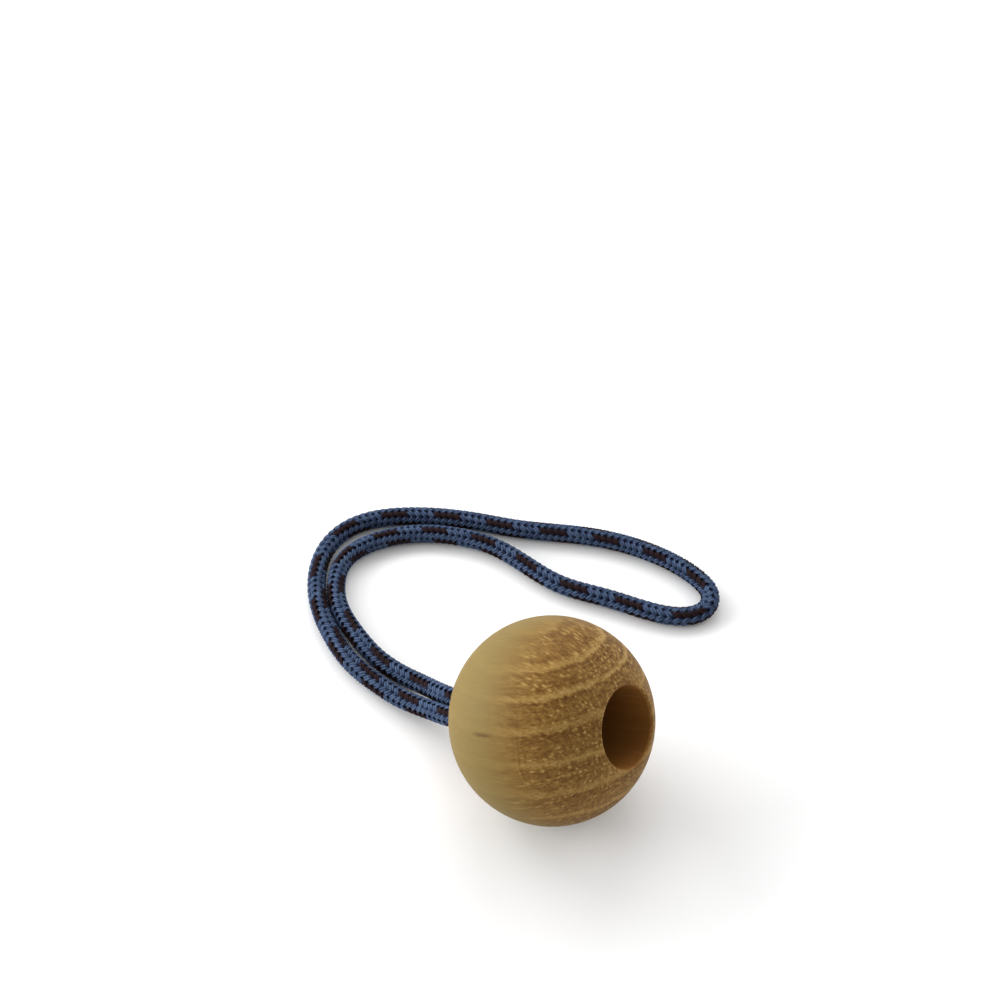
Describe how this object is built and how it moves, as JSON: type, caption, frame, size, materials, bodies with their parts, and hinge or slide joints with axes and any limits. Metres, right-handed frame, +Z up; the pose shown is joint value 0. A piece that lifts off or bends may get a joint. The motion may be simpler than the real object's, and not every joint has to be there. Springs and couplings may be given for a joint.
{
  "type": "wooden bead on a cord loop",
  "caption": "Turned wooden ball bead with a stepped bore, threaded on a doubled loop of braided elastic cord whose knotted ends sit in the bead's pocket.",
  "frame": {"origin": "the point on the resting surface under the middle of the bead, where the bead touches it", "axes": "+Z up from the surface, square to the plane in which the loop lies; +X the way the bead's pocket opens, which leans 27 degrees above level; +Y to the side on which the loop curls back, along the bead's full width"},
  "size_m": [0.0732, 0.0668, 0.0311],
  "materials": {
    "wood": "turned and sanded, thin satin oil, open pores",
    "cord": "braided yarn over an elastic core, matt, dark flecks"
  },
  "bodies": {
    "root": {"bead": "wood", "cord_loop": "cord", "cord_knot": "cord"}
  },
  "joints": []
}
